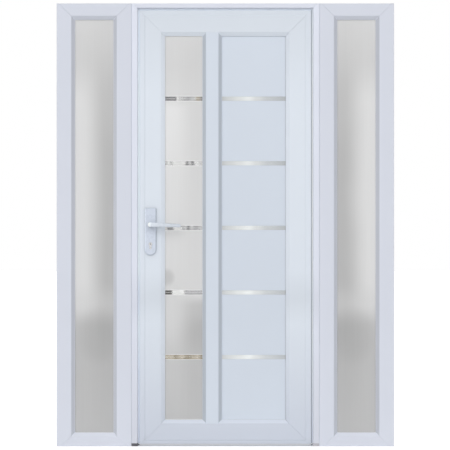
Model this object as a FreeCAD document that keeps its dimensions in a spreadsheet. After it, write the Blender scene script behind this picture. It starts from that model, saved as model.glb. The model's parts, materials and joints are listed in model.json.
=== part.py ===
import FreeCAD, Part
import math
import os
import re
import Sketcher
from FreeCAD import Rotation, Vector

# White plastic entrance door set: a hinged leaf with a glazed field and a panelled field,
# between two fixed sidelights. X runs to the right seen from outside, Y into the house and
# Z up. The origin is the middle of the threshold's underside. All sizes are millimetres.

SIZES = {
    # The whole set
    "overall_height": 2100,
    "door_unit_width": 890,
    "sidelight_width": 355,
    "frame_depth": 70,
    # Edges that every glazed profile shares
    "edge_chamfer": 2,
    "slope_width": 18,
    "slope_depth": 12,
    "flange_thickness": 4,
    "glazing_rebate": 24,
    "glazing_gasket": 3,
    "gasket_width": 11,
    "gasket_inset": 0.5,
    "glass_edge_gap": 5,
    "bead_width": 22,
    "bead_flat": 11,
    "bead_lip": 9,
    "bead_joint": 0.4,
    "spacer_width": 10,
    "spacer_setback": 4,
    # Sidelights
    "light_face": 68,
    "light_head_trim": 10,
    "light_sill_trim": 22,
    "light_unit": 28,
    "light_pane": 4,
    # Door frame
    "jamb_face": 28,
    "head_face": 22,
    "lip_overhang": 12,
    "lip_thickness": 16,
    "foot_height": 14,
    "foot_reach": 4,
    "threshold_height": 4,
    "threshold_nose": 1.5,
    # Leaf
    "leaf_setback": 8,
    "leaf_depth": 77,
    "rebate_gap": 7.5,
    "lip_gap": 5,
    "sight_gap": 10,
    "leaf_face": 102.5,
    "bottom_face": 94.5,
    "band_width": 24,
    "band_step": 2,
    "lap_cover": 8,
    "lap_thickness": 10,
    "mullion_face": 56,
    "mullion_place": -62.4,
    "leaf_unit": 36,
    "leaf_pane": 6,
    "frost_depth": 0.3,
    "seal_width": 4,
    "seal_show": 2,
    "seal_clearance": 0.3,
    "sweep_width": 6,
    "sweep_inset": 4,
    # Steel strips on the panel, and the clear stripes level with them in the glass
    "strip_count": 5,
    "strip_height": 20,
    "strip_thickness": 2,
    "strip_recess": 1,
    "strip_fit": 0.2,
    # Lever furniture
    "spindle_inset": 66.5,
    "spindle_height": 1051,
    "spindle_square": 8,
    "spindle_bore": 7.5,
    "plate_width": 54,
    "plate_rise": 78,
    "plate_drop": 145,
    "plate_thickness": 10,
    "plate_rim": 3,
    "lock_pitch": 92,
    "lever_length": 146,
    "lever_stand": 46,
    "lever_gap": 0.5,
    "lever_lean": 1.5,
    "collar_radius": 10.5,
    "collar_length": 12,
    "neck_radius": 8.5,
    "neck_taper": 3,
    "grip_root_radius": 11,
    "grip_tip_radius": 7.5,
    "grip_thickness": 14,
    "grip_drop": 5,
    "grip_round": 5,
    # Lock
    "cylinder_radius": 8.5,
    "cylinder_stem": 10,
    "cylinder_height": 33,
    "cylinder_fit": 0.25,
    "keyway_width": 2,
    "keyway_height": 8,
    "keyway_depth": 12,
    "lock_plane": 12,
    "faceplate_width": 20,
    "faceplate_thickness": 2.5,
    "faceplate_end_gap": 180,
    "latch_height": 34,
    "latch_width": 14,
    "bolt_drop": 70,
    "keep_height": 210,
    # Hinges
    "hinge_height": 90,
    "hinge_barrel": 7,
    "hinge_pin": 4,
    "hinge_fit": 0.05,
    "hinge_edge_gap": 2,
    "hinge_plate": 4,
    "hinge_wing": 44,
    "hinge_inset": 235,
    "knuckle_gap": 0.3,
    "pin_head": 3,
    "pin_chamfer": 1,
}

# Places and widths that follow from the sizes above
FORMULAS = {
    "frame_front": "-frame_depth / 2",
    "frame_rear": "frame_depth / 2",
    # Sidelight profile
    "light_stile": "light_face + slope_width",
    "light_head": "light_stile - light_head_trim",
    "light_sill": "light_stile - light_sill_trim",
    "light_glass_front": "frame_front + slope_depth + flange_thickness + glazing_gasket",
    # Door frame
    "unit_edge": "door_unit_width / 2",
    "lip_edge": "unit_edge - jamb_face",
    "lip_rear": "frame_front + lip_thickness",
    "rebate_side": "lip_edge + lip_overhang",
    "head_lip": "overall_height - head_face",
    "rebate_head": "head_lip + lip_overhang",
    # Leaf
    "leaf_front": "frame_front + leaf_setback",
    "leaf_rear": "leaf_front + leaf_depth",
    "leaf_middle": "leaf_front + leaf_depth / 2",
    "land_plane": "lip_rear + lip_gap",
    "leaf_edge": "rebate_side - rebate_gap",
    "leaf_top": "rebate_head - rebate_gap",
    "leaf_bottom": "threshold_height + rebate_gap",
    "leaf_land": "leaf_edge - lip_edge + sight_gap",
    "lap_reach": "rebate_gap + lap_cover",
    "lap_edge": "leaf_edge + lap_reach",
    "leaf_stile": "leaf_land + leaf_face + slope_width",
    "leaf_sill": "bottom_face + slope_width",
    "bottom_band": "leaf_land + band_width - (leaf_stile - leaf_sill)",
    "sight_side": "leaf_edge - leaf_stile",
    "sight_top": "leaf_top - leaf_stile",
    "sight_bottom": "leaf_bottom + leaf_sill",
    "mullion_half": "mullion_face / 2 + slope_width",
    "leaf_glass_front": "leaf_front + slope_depth + flange_thickness + glazing_gasket",
    "leaf_glass_rear": "leaf_glass_front + leaf_unit",
    "infill_cover": "glazing_rebate - glass_edge_gap",
    "strip_pitch": "(sight_top - sight_bottom + strip_height) / (strip_count + 1)",
    # Furniture
    "spindle_place": "spindle_inset - leaf_edge",
    "plate_face": "leaf_front - plate_thickness",
    "lock_height": "spindle_height - lock_pitch",
    # Hinges
    "hinge_side": "lap_edge + hinge_edge_gap + hinge_barrel",
    "hinge_third": "hinge_height / 3",
}

document = FreeCAD.newDocument("door_with_sidelights")
sheet = document.addObject("Spreadsheet::Sheet", "Sizes")
for row, (alias, size) in enumerate(SIZES.items(), start=1):
    sheet.set(f"A{row}", alias)
    sheet.set(f"B{row}", str(size))
    sheet.setAlias(f"B{row}", alias)
document.recompute()


def tied(formula):
    """A formula in which every named size is written as its cell of the sheet."""
    def cell(found):
        name = found.group()
        if name in FORMULAS:
            return f"({tied(FORMULAS[name])})"
        return f"Sizes.{name}" if name in SIZES else name
    return re.sub(r"[a-z_]+", cell, str(formula))


def tie(item, **formulas):
    """Tie properties of an object to the sheet; place_x means Placement.Base.x."""
    for name, formula in formulas.items():
        path = f".Placement.Base.{name[-1]}" if name.startswith("place_") else name
        item.setExpression(path, tied(formula))


def add(kind, name):
    item = document.addObject(kind, name)
    item.Label = name
    return item


# Sketches

# Outlines are drawn at this size, and their constraints then pull them to their real one
DRAWN_SIZE = 5


def sketch_on(body, name, plane, offset=("0", "0", "0")):
    """An empty sketch on one of the body's own planes, or shifted from it by an offset."""
    sketch = body.newObject("Sketcher::SketchObject", name)
    origin = [item for item in body.Origin.OriginFeatures if item.Role == plane][0]
    sketch.AttachmentSupport = [(origin, "")]
    sketch.MapMode = "FlatFace"
    for axis, formula in zip("xyz", offset):
        if formula != "0":
            sketch.setExpression(f".AttachmentOffset.Base.{axis}", tied(formula))
    return sketch


def pin_distance(sketch, direction, edge, end, formula):
    """Fix how far a point lies from the sketch's origin, starting from where it was drawn."""
    point = sketch.getPoint(edge, end)
    drawn = point.x if direction == "DistanceX" else point.y
    place = sketch.addConstraint(Sketcher.Constraint(direction, -1, 1, edge, end, drawn))
    sketch.setExpression(f"Constraints[{place}]", tied(formula))


def pin_point(sketch, edge, end, across, along):
    pin_distance(sketch, "DistanceX", edge, end, across)
    pin_distance(sketch, "DistanceY", edge, end, along)


def join_ends(sketch, kind, pairs):
    """Join the ends of edges; a pair is an edge and its end, then the other's."""
    for pair in pairs:
        sketch.addConstraint(Sketcher.Constraint(kind, *pair))


def outline(body, name, plane, corners, height="0"):
    """A closed outline of straight sides; each corner is a pair of formulas."""
    sketch = sketch_on(body, name, plane, ("0", "0", height))
    count = len(corners)
    turns = [math.tau * corner / count for corner in range(count)]
    start = [Vector(math.cos(turn), math.sin(turn), 0) * DRAWN_SIZE for turn in turns]
    for side in range(count):
        sketch.addGeometry(Part.LineSegment(start[side], start[(side + 1) % count]), False)
    for side in range(count):
        sketch.addConstraint(Sketcher.Constraint("Coincident", side, 2, (side + 1) % count, 1))
    for side, (across, along) in enumerate(corners):
        pin_point(sketch, side, 1, across, along)
    return sketch


def box_corners(x_low, x_high, y_low, y_high):
    return [(x_low, y_low), (x_high, y_low), (x_high, y_high), (x_low, y_high)]


def disc(body, name, plane, radius, offset=("0", "0", "0")):
    sketch = sketch_on(body, name, plane, offset)
    sketch.addGeometry(Part.Circle(Vector(), Vector(0, 0, 1), DRAWN_SIZE), False)
    size = sketch.addConstraint(Sketcher.Constraint("Radius", 0, float(DRAWN_SIZE)))
    sketch.setExpression(f"Constraints[{size}]", tied(radius))
    pin_point(sketch, 0, 3, "0", "0")
    return sketch


def round_ended(body, name, plane, half_width, top, bottom):
    """An outline with a square top and a half-round foot centred at the bottom formula."""
    half = SIZES["plate_width"] / 2
    rise = SIZES["plate_rise"]
    drop = -SIZES["plate_drop"]
    sketch = sketch_on(body, name, plane)
    corners = [Vector(across, along, 0)
               for across, along in ((-half, drop), (-half, rise), (half, rise), (half, drop))]
    for first, second in zip(corners, corners[1:]):
        sketch.addGeometry(Part.LineSegment(first, second), False)
    foot = Part.Circle(Vector(0, drop, 0), Vector(0, 0, 1), half)
    sketch.addGeometry(Part.ArcOfCircle(foot, math.pi, math.tau), False)
    join_ends(sketch, "Coincident", ((0, 2, 1, 1), (1, 2, 2, 1), (0, 1, 3, 1), (2, 2, 3, 2)))
    pin_point(sketch, 0, 1, f"-({half_width})", bottom)
    pin_point(sketch, 1, 1, f"-({half_width})", top)
    pin_point(sketch, 2, 1, half_width, top)
    pin_point(sketch, 2, 2, half_width, bottom)
    pin_distance(sketch, "DistanceY", 3, 3, bottom)
    return sketch


def cylinder_outline(body, name, clearance, offset=("0", "0", "0")):
    """The pear-shaped section of a profile cylinder, grown by a clearance."""
    radius, stem = SIZES["cylinder_radius"], SIZES["cylinder_stem"] / 2
    foot = radius - SIZES["cylinder_height"] + stem
    swing = math.asin(stem / radius)
    shoulder = -radius * math.cos(swing)
    sketch = sketch_on(body, name, "XZ_Plane", offset)
    barrel = Part.Circle(Vector(0, 0, 0), Vector(0, 0, 1), radius)
    toe = Part.Circle(Vector(0, foot, 0), Vector(0, 0, 1), stem)
    sketch.addGeometry(Part.ArcOfCircle(barrel, swing - math.pi / 2, 1.5 * math.pi - swing), False)
    sketch.addGeometry(Part.LineSegment(Vector(-stem, shoulder, 0), Vector(-stem, foot, 0)), False)
    sketch.addGeometry(Part.ArcOfCircle(toe, math.pi, math.tau), False)
    sketch.addGeometry(Part.LineSegment(Vector(stem, foot, 0), Vector(stem, shoulder, 0)), False)
    join_ends(sketch, "Coincident", ((0, 2, 1, 1), (1, 2, 2, 1), (2, 2, 3, 1), (3, 2, 0, 1)))
    size = sketch.addConstraint(Sketcher.Constraint("Radius", 0, radius))
    sketch.setExpression(f"Constraints[{size}]", tied(f"cylinder_radius + {clearance}"))
    pin_point(sketch, 0, 3, "0", "0")
    half = f"cylinder_stem / 2 + {clearance}"
    foot_formula = "cylinder_radius - cylinder_height + cylinder_stem / 2"
    pin_point(sketch, 2, 1, f"-({half})", foot_formula)
    pin_point(sketch, 2, 2, half, foot_formula)
    pin_distance(sketch, "DistanceX", 1, 1, f"-({half})")
    pin_distance(sketch, "DistanceX", 3, 2, half)
    pin_distance(sketch, "DistanceY", 2, 3, foot_formula)
    return sketch


# Features

def pad(body, sketch, length, reverse=False):
    feature = body.newObject("PartDesign::Pad", f"{sketch.Name}_pad")
    feature.Profile = sketch
    feature.Reversed = reverse
    tie(feature, Length=length)
    return feature


def pocket_through(body, sketch):
    """Cut a sketch right through the body, both ways from its plane."""
    feature = body.newObject("PartDesign::Pocket", f"{sketch.Name}_pocket")
    feature.Profile = sketch
    feature.Type = "ThroughAll"
    feature.SideType = "Symmetric"
    return feature


def pocket(body, sketch, depth, reverse=False):
    feature = body.newObject("PartDesign::Pocket", f"{sketch.Name}_pocket")
    feature.Profile = sketch
    feature.Reversed = reverse
    tie(feature, Length=depth)
    return feature


def block(name, low, high):
    """A rectangular piece between two corners, each given as three formulas."""
    item = add("Part::Box", name)
    for side, axis, start, end in zip(("Length", "Width", "Height"), "xyz", low, high):
        tie(item, **{side: f"({end}) - ({start})", f"place_{axis}": start})
    return item


def cut(name, base, tool):
    item = add("Part::Cut", name)
    item.Base = base
    item.Tool = tool
    return item


def together(name, pieces):
    item = add("Part::Compound", name)
    item.Links = pieces
    return item


def ring(name, low, high, width):
    """A rectangular ring in an upright plane, as wide as the width formula."""
    outer = block(f"{name}_outer", low, high)
    inner = block(f"{name}_inner",
                  (f"{low[0]} + {width}", f"{low[1]} - {width}", f"{low[2]} + {width}"),
                  (f"{high[0]} - ({width})", f"{high[1]} + {width}", f"{high[2]} - ({width})"))
    return cut(name, outer, inner)


# Profile bars. A bar's section lies in its XY plane: X runs from the bar's outer edge towards
# the glass or the leaf, Y into the house, and the bar itself runs along Z.

TURNS = {"up": Rotation(), "across_head": Rotation(Vector(0, 1, 0), 90),
         "across_sill": Rotation(Vector(0, 1, 0), -90)}


def bar(name, section, length, place, turn="up", side=1, width=None, legs=()):
    """A straight profile bar, with a mitre of the given leg at its start and at its end."""
    body = add("PartDesign::Body", name)
    sign = "-" if side < 0 else ""
    corners = [(f"{sign}({across})", depth) for across, depth in section]
    pad(body, outline(body, f"{name}_section", "XY_Plane", corners), length)
    for end, leg in zip(("start", "end"), legs):
        if leg is None:
            continue
        edge, inner = ("0", leg) if end == "start" else (length, f"{length} - ({leg})")
        far_side = f"{sign}({width})"
        triangle = [(f"{sign}({width} - ({leg}))", edge), (far_side, edge), (far_side, inner)]
        pocket_through(body, outline(body, f"{name}_mitre_{end}", "XZ_Plane", triangle))
    body.Placement = FreeCAD.Placement(Vector(), TURNS[turn])
    tie(body, place_x=place[0], place_y=place[1], place_z=place[2])
    return body


def glazed_section(width, front, rear):
    """Fixed frame profile: flat face, sloping cheek, glazing flange and glazing rebate."""
    flange = f"{front} + slope_depth + flange_thickness"
    return [("0", rear), ("0", f"{front} + edge_chamfer"), ("edge_chamfer", front),
            (f"{width} - slope_width", front), (width, f"{front} + slope_depth"), (width, flange),
            (f"{width} - glazing_rebate", flange), (f"{width} - glazing_rebate", rear)]


def frame_section(face, body_width):
    """Door frame profile: a body with a lip in front that the leaf closes behind."""
    return [("0", "frame_rear"), ("0", "frame_front + edge_chamfer"), ("edge_chamfer", "frame_front"),
            (f"{face} - edge_chamfer", "frame_front"), (face, "frame_front + edge_chamfer"),
            (face, "lip_rear"), (body_width, "lip_rear"), (body_width, "frame_rear")]


def leaf_section(back, border_start, border_width, width):
    """Leaf profile: its back edge, a border a step behind the face, the face and the glazed side."""
    border_end = f"{border_start} + {border_width}"
    flange = "leaf_front + slope_depth + flange_thickness"
    return back + [
        (border_start, "leaf_front + band_step"), (border_end, "leaf_front + band_step"),
        (f"{border_end} + band_step", "leaf_front"), (f"{width} - slope_width", "leaf_front"),
        (width, "leaf_front + slope_depth"), (width, flange),
        (f"{width} - glazing_rebate", flange), (f"{width} - glazing_rebate", "leaf_rear")]


def bead_section(infill_rear, rear):
    """Inside glazing bead: full depth against the rebate, chamfered towards the room."""
    return [("0", infill_rear), ("bead_width", infill_rear), ("bead_width", f"{infill_rear} + bead_lip"),
            ("bead_flat", rear), ("0", rear)]


def beads(name, low, high, infill_rear, rear):
    """Four mitred beads round an opening; low and high are its rebate corners as (x, z)."""
    section = bead_section(infill_rear, rear)
    legs = ("bead_width", "bead_width")
    tall = f"({high[1]}) - ({low[1]})"
    wide = f"({high[0]}) - ({low[0]}) - 2 * bead_joint"
    common = {"width": "bead_width", "legs": legs}
    head_place = (f"{low[0]} + bead_joint", "0", high[1])
    sill_place = (f"{high[0]} - bead_joint", "0", low[1])
    return [
        bar(f"{name}_left", section, tall, (low[0], "0", low[1]), **common),
        bar(f"{name}_right", section, tall, (high[0], "0", low[1]), side=-1, **common),
        bar(f"{name}_top", section, wide, head_place, "across_head", **common),
        bar(f"{name}_bottom", section, wide, sill_place, "across_sill", **common),
    ]


nodes = []


def keep(*pieces):
    """Name pieces as sub-parts of the door set."""
    nodes.extend(pieces)
    return pieces[0]


def grown(sight, amount):
    """The corners of an opening, low and high as (x, z), moved outwards by an amount."""
    low, high = sight
    return ([f"{value} - {amount}" for value in low], [f"{value} + {amount}" for value in high])


# Sidelights

def sidelight(side_name, outer_edge, inner_edge, outer_side):
    """One fixed light. outer_side is 1 where the wall is at the left and -1 at the right."""
    name = f"{side_name}_light"
    left, right = (outer_edge, inner_edge) if outer_side > 0 else (inner_edge, outer_edge)
    stile = glazed_section("light_stile", "frame_front", "frame_rear")
    legs = ("light_sill", "light_head")
    keep(bar(f"{name}_outer_stile", stile, "overall_height", (outer_edge, "0", "0"),
             side=outer_side, width="light_stile", legs=legs))
    keep(bar(f"{name}_inner_stile", stile, "overall_height", (inner_edge, "0", "0"),
             side=-outer_side, width="light_stile", legs=legs))
    keep(bar(f"{name}_head", glazed_section("light_head", "frame_front", "frame_rear"),
             "sidelight_width - 2 * light_head_trim", (f"{left} + light_head_trim", "0", "overall_height"),
             "across_head", width="light_head", legs=("light_head", "light_head")))
    keep(bar(f"{name}_sill", glazed_section("light_sill", "frame_front", "frame_rear"),
             "sidelight_width - 2 * light_sill_trim", (f"{right} - light_sill_trim", "0", "0"),
             "across_sill", width="light_sill", legs=("light_sill", "light_sill")))
    sight = ((f"{left} + light_stile", "light_sill"),
             (f"{right} - light_stile", "overall_height - light_head"))
    glass = glazing(name, sight, "light_glass_front", "light_unit", "light_pane")
    rebate = grown(sight, "glazing_rebate")
    pieces = beads(f"{name}_bead", *rebate, "light_glass_front + light_unit", "frame_rear")
    keep(together(f"{name}_beads", pieces))
    return glass


def glazing(name, sight, front, unit, pane):
    """A sealed unit between sight corners: two panes, the spacer between them and the gasket."""
    low, high = grown(sight, "infill_cover")
    outer = block(f"{name}_frosted_pane", (low[0], front, low[1]),
                  (high[0], f"{front} + {pane}", high[1]))
    inner = block(f"{name}_clear_pane", (low[0], f"{front} + {unit} - {pane}", low[1]),
                  (high[0], f"{front} + {unit}", high[1]))
    bar_between = spacer(f"{name}_spacer", sight, front, unit, pane)
    return outer, inner, bar_between, gasket(f"{name}_gasket", sight, front)


def spacer(name, sight, front, unit, pane):
    """The bar that holds the two panes of a sealed unit apart."""
    low, high = grown(sight, "(infill_cover - spacer_setback)")
    rear = f"{front} + {unit} - {pane}"
    return ring(name, (low[0], f"{front} + {pane}", low[1]), (high[0], rear, high[1]), "spacer_width")


def gasket(name, sight, front):
    """The ring of rubber between the glazing flange and the infill."""
    low, high = grown(sight, "(gasket_width - gasket_inset)")
    return ring(name, (low[0], f"{front} - glazing_gasket", low[1]), (high[0], front, high[1]),
                "gasket_width")


left_glass = sidelight("left", "-(unit_edge + sidelight_width)", "-unit_edge", 1)
right_glass = sidelight("right", "unit_edge + sidelight_width", "unit_edge", -1)
keep(left_glass[0], right_glass[0])
keep(together("sidelight_clear_panes", [left_glass[1], right_glass[1]]))
keep(together("sidelight_spacers", [left_glass[2], right_glass[2]]))
keep(together("sidelight_gaskets", [left_glass[3], right_glass[3]]))


# Door frame

jamb_section = frame_section("jamb_face", "jamb_face - lip_overhang")
head_section = frame_section("head_face", "head_face - lip_overhang")
jamb_length = "overall_height - foot_height"


def jamb(name, edge, side):
    body = bar(name, jamb_section, jamb_length, (edge, "0", "foot_height"), side=side,
               width="jamb_face", legs=(None, "head_face"))
    return keep(body)


def foot(name, edge, side):
    """The block under a jamb, which reaches a little further into the doorway."""
    section = frame_section("jamb_face + foot_reach", "jamb_face - lip_overhang")
    return keep(bar(name, section, "foot_height", (edge, "0", "0"), side=side))


left_jamb = jamb("left_jamb", "-unit_edge", 1)
jamb("right_jamb", "unit_edge", -1)
left_foot = foot("left_jamb_foot", "-unit_edge", 1)
right_foot = foot("right_jamb_foot", "unit_edge", -1)
keep(bar("frame_head", head_section, "door_unit_width - 2 * (jamb_face - head_face)",
         ("-unit_edge + jamb_face - head_face", "0", "overall_height"), "across_head",
         width="head_face", legs=("head_face", "head_face")))

# The threshold is a low plate between the feet, and the leaf passes over it
threshold_section = [("0", "frame_rear"), ("0", "frame_front"),
                     ("threshold_height - threshold_nose", "frame_front"),
                     ("threshold_height", "frame_front + threshold_nose"), ("threshold_height", "frame_rear")]
threshold_bar = bar("threshold_bar", threshold_section, "2 * rebate_side", ("rebate_side", "0", "0"),
                    "across_sill")
keep(cut("threshold", threshold_bar, together("threshold_ends", [left_foot, right_foot])))

# The seal runs up one jamb, along the head and down the other, and shows beside their lips
seal_inner = ("lip_edge - seal_show", "head_lip - seal_show")
seal_outer = [f"{edge} + seal_width" for edge in seal_inner]
seal_blank = block("seal_blank", (f"-({seal_outer[0]})", "lip_rear", "foot_height"),
                   (seal_outer[0], "land_plane - seal_clearance", seal_outer[1]))
seal_doorway = block("seal_doorway", (f"-({seal_inner[0]})", "lip_rear - seal_width", "0"),
                     (seal_inner[0], "land_plane + seal_width", seal_inner[1]))
keep(cut("frame_seal", seal_blank, seal_doorway))


# Leaf

# The stiles and the head lap over the frame from behind and land on its seal
lapped_back = [("-lap_reach", "leaf_rear"), ("-lap_reach", "leaf_rear - lap_thickness"),
               ("0", "leaf_rear - lap_thickness"), ("0", "land_plane"), ("leaf_land", "land_plane")]
lapped_section = leaf_section(lapped_back, "leaf_land", "band_width", "leaf_stile")
lapped_leg = "leaf_stile + lap_reach"
bottom_section = leaf_section([("0", "leaf_rear")], "0", "bottom_band", "leaf_sill")


def leaf_stile(name, edge, side):
    return keep(bar(name, lapped_section, "leaf_top + lap_reach - leaf_bottom", (edge, "0", "leaf_bottom"),
                    side=side, width="leaf_stile", legs=("leaf_sill", lapped_leg)))


lock_stile = leaf_stile("leaf_lock_stile", "-leaf_edge", 1)
leaf_stile("leaf_hinge_stile", "leaf_edge", -1)
leaf_head = keep(bar("leaf_top_rail", lapped_section, "2 * lap_edge", ("-lap_edge", "0", "leaf_top"),
                     "across_head", width="leaf_stile", legs=(lapped_leg, lapped_leg)))
leaf_sill = keep(bar("leaf_bottom_rail", bottom_section, "2 * (sight_side + leaf_sill)",
                     ("sight_side + leaf_sill", "0", "leaf_bottom"), "across_sill",
                     width="leaf_sill", legs=("leaf_sill", "leaf_sill")))


def mullion_section():
    flange = "leaf_front + slope_depth + flange_thickness"
    half = [("mullion_face / 2", "leaf_front"), ("mullion_half", "leaf_front + slope_depth"),
            ("mullion_half", flange), ("mullion_half - glazing_rebate", flange),
            ("mullion_half - glazing_rebate", "leaf_rear")]
    return half + [(f"-({across})", depth) for across, depth in reversed(half)]


mullion_bar = bar("mullion_bar", mullion_section(), "sight_top - sight_bottom + 2 * glazing_rebate",
                  ("mullion_place", "0", "sight_bottom - glazing_rebate"))
keep(cut("leaf_mullion", mullion_bar, together("mullion_copes", [leaf_head, leaf_sill])))

glass_sight = (("-sight_side", "sight_bottom"), ("mullion_place - mullion_half", "sight_top"))
panel_sight = (("mullion_place + mullion_half", "sight_bottom"), ("sight_side", "sight_top"))


def infill_sheet(name, sight, face, thickness, behind=True):
    """A sheet in a leaf opening, behind its worked face or in front of it."""
    low, high = grown(sight, "infill_cover")
    body = add("PartDesign::Body", name)
    corners = box_corners(low[0], high[0], low[1], high[1])
    pad(body, outline(body, f"{name}_outline", "XZ_Plane", corners), thickness, behind)
    tie(body, place_y=face)
    return body


def fields(body, name, low, high, depth, count, behind=True):
    """A column of equal shallow pockets in a sheet's worked face, one strip pitch apart."""
    corners = box_corners(low[0], high[0], low[1], high[1])
    base = pocket(body, outline(body, name, "XZ_Plane", corners), depth, not behind)
    column = body.newObject("PartDesign::LinearPattern", f"{name}_column")
    column.Originals = [base]
    column.Direction = (base.Profile[0], ["V_Axis"])
    column.Mode = "Spacing"
    tie(column, Offset="strip_pitch", Occurrences=count)
    body.Tip = column


# The outer pane is blasted on its inner face, and the clear stripes between the fields stand proud
first_strip = "sight_bottom + strip_pitch - strip_height"
blasted_face = "leaf_glass_front + leaf_pane"
frosted = infill_sheet("leaf_frosted_pane", glass_sight, blasted_face, "leaf_pane", False)
fields(frosted, "frosted_field", glass_sight[0], (glass_sight[1][0], first_strip),
       "frost_depth", "strip_count + 1", False)
keep(frosted)
pane_low, pane_high = grown(glass_sight, "infill_cover")
keep(block("leaf_clear_pane", (pane_low[0], "leaf_glass_rear - leaf_pane", pane_low[1]),
           (pane_high[0], "leaf_glass_rear", pane_high[1])))
keep(spacer("leaf_spacer", glass_sight, "leaf_glass_front", "leaf_unit", "leaf_pane"))

# Each strip lies in a shallow groove and ends just short of the gasket at both sides
panel = infill_sheet("leaf_panel", panel_sight, "leaf_glass_front", "leaf_unit")
groove_left = f"{panel_sight[0][0]} + gasket_inset"
groove_right = f"{panel_sight[1][0]} - gasket_inset"
fields(panel, "strip_groove", (groove_left, f"{first_strip} - strip_fit"),
       (groove_right, f"{first_strip} + strip_height + strip_fit"), "strip_recess", "strip_count")
keep(panel)
strips = []
for step in range(SIZES["strip_count"]):
    strip_low = f"{first_strip} + {step} * strip_pitch"
    strips.append(block(
        f"steel_strip_{step + 1}",
        (f"{groove_left} + strip_fit", "leaf_glass_front + strip_recess - strip_thickness", strip_low),
        (f"{groove_right} - strip_fit", "leaf_glass_front + strip_recess", f"{strip_low} + strip_height")))
keep(together("steel_strips", strips))

# The sweep under the leaf's front edge closes the gap over the threshold
sweep_end = "lip_edge - sight_gap"
sweep_front = "leaf_front + sweep_inset"
sweep = block("leaf_sweep", (f"-({sweep_end})", sweep_front, "threshold_height + seal_clearance"),
              (sweep_end, f"{sweep_front} + sweep_width", "leaf_bottom"))
keep(together("leaf_gaskets", [gasket("leaf_glass_gasket", glass_sight, "leaf_glass_front"),
                               gasket("leaf_panel_gasket", panel_sight, "leaf_glass_front"), sweep]))
for infill, sight in (("glass", glass_sight), ("panel", panel_sight)):
    pieces = beads(f"{infill}_bead", *grown(sight, "glazing_rebate"), "leaf_glass_rear", "leaf_rear")
    keep(together(f"leaf_{infill}_beads", pieces))


# Lock and lever furniture

pocket_through(lock_stile, disc(lock_stile, "spindle_hole", "XZ_Plane", "spindle_bore",
                                ("spindle_inset", "spindle_height - leaf_bottom", "0")))
pocket_through(lock_stile, cylinder_outline(lock_stile, "cylinder_hole", "cylinder_fit",
                                            ("spindle_inset", "lock_height - leaf_bottom", "0")))


def edge_names(shape, wanted):
    """Names of the edges of a shape that answer to a test."""
    return [f"Edge{number}" for number, edge in enumerate(shape.Edges, start=1) if wanted(edge)]


def backplate(name):
    """Long backplate with a rounded foot and a bevelled rim, bored for spindle and cylinder."""
    body = add("PartDesign::Body", name)
    base = pad(body, round_ended(body, f"{name}_outline", "XZ_Plane", "plate_width / 2", "plate_rise",
                                 "plate_width / 2 - plate_drop"), "plate_thickness")
    document.recompute()
    front = -SIZES["plate_thickness"]
    rim = edge_names(base.Shape, lambda edge: abs(edge.BoundBox.YMin - front) < 0.01
                     and abs(edge.BoundBox.YMax - front) < 0.01)
    bevel = body.newObject("PartDesign::Chamfer", f"{name}_bevel")
    bevel.Base = (base, rim)
    tie(bevel, Size="plate_rim")
    pocket_through(body, disc(body, f"{name}_spindle_hole", "XZ_Plane", "spindle_bore"))
    pocket_through(body, cylinder_outline(body, f"{name}_cylinder_hole", "cylinder_fit",
                                          ("0", "-lock_pitch", "0")))
    tie(body, place_x="spindle_place", place_y="leaf_front", place_z="spindle_height")
    return body


def mirrored(name, source):
    """The same piece on the room side of the leaf."""
    item = add("Part::Mirroring", name)
    item.Source = source
    item.Normal = Vector(0, 1, 0)
    item.setExpression("Base.y", tied("leaf_middle"))
    return item


def tapered_slot(body, name):
    """The grip seen from the front: two round ends of unlike size, joined by their tangents."""
    root, tip, drop = SIZES["grip_root_radius"], SIZES["grip_tip_radius"], -SIZES["grip_drop"]
    reach = SIZES["lever_length"] - tip
    slant = math.atan2(drop, reach)
    swing = math.acos((root - tip) / math.hypot(reach, drop))
    ends = {}
    for centre, radius in ((Vector(), root), (Vector(reach, drop, 0), tip)):
        for side in (1, -1):
            turn = slant + side * swing
            ends[radius, side] = centre + Vector(math.cos(turn), math.sin(turn), 0) * radius
    sketch = sketch_on(body, name, "XZ_Plane", ("0", "0", "lever_stand - grip_thickness / 2"))
    round_root = Part.Circle(Vector(), Vector(0, 0, 1), root)
    round_tip = Part.Circle(Vector(reach, drop, 0), Vector(0, 0, 1), tip)
    sketch.addGeometry(Part.ArcOfCircle(round_root, slant + swing, slant - swing + math.tau), False)
    sketch.addGeometry(Part.LineSegment(ends[root, -1], ends[tip, -1]), False)
    sketch.addGeometry(Part.ArcOfCircle(round_tip, slant - swing, slant + swing), False)
    sketch.addGeometry(Part.LineSegment(ends[tip, 1], ends[root, 1]), False)
    join_ends(sketch, "Tangent", ((0, 2, 1, 1), (1, 2, 2, 1), (2, 2, 3, 1), (3, 2, 0, 1)))
    for edge, radius in ((0, "grip_root_radius"), (2, "grip_tip_radius")):
        place = sketch.addConstraint(Sketcher.Constraint("Radius", edge, float(SIZES[radius])))
        sketch.setExpression(f"Constraints[{place}]", tied(radius))
    pin_point(sketch, 0, 3, "0", "0")
    pin_point(sketch, 2, 3, "lever_length - grip_tip_radius", "-grip_drop")
    return sketch


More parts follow.
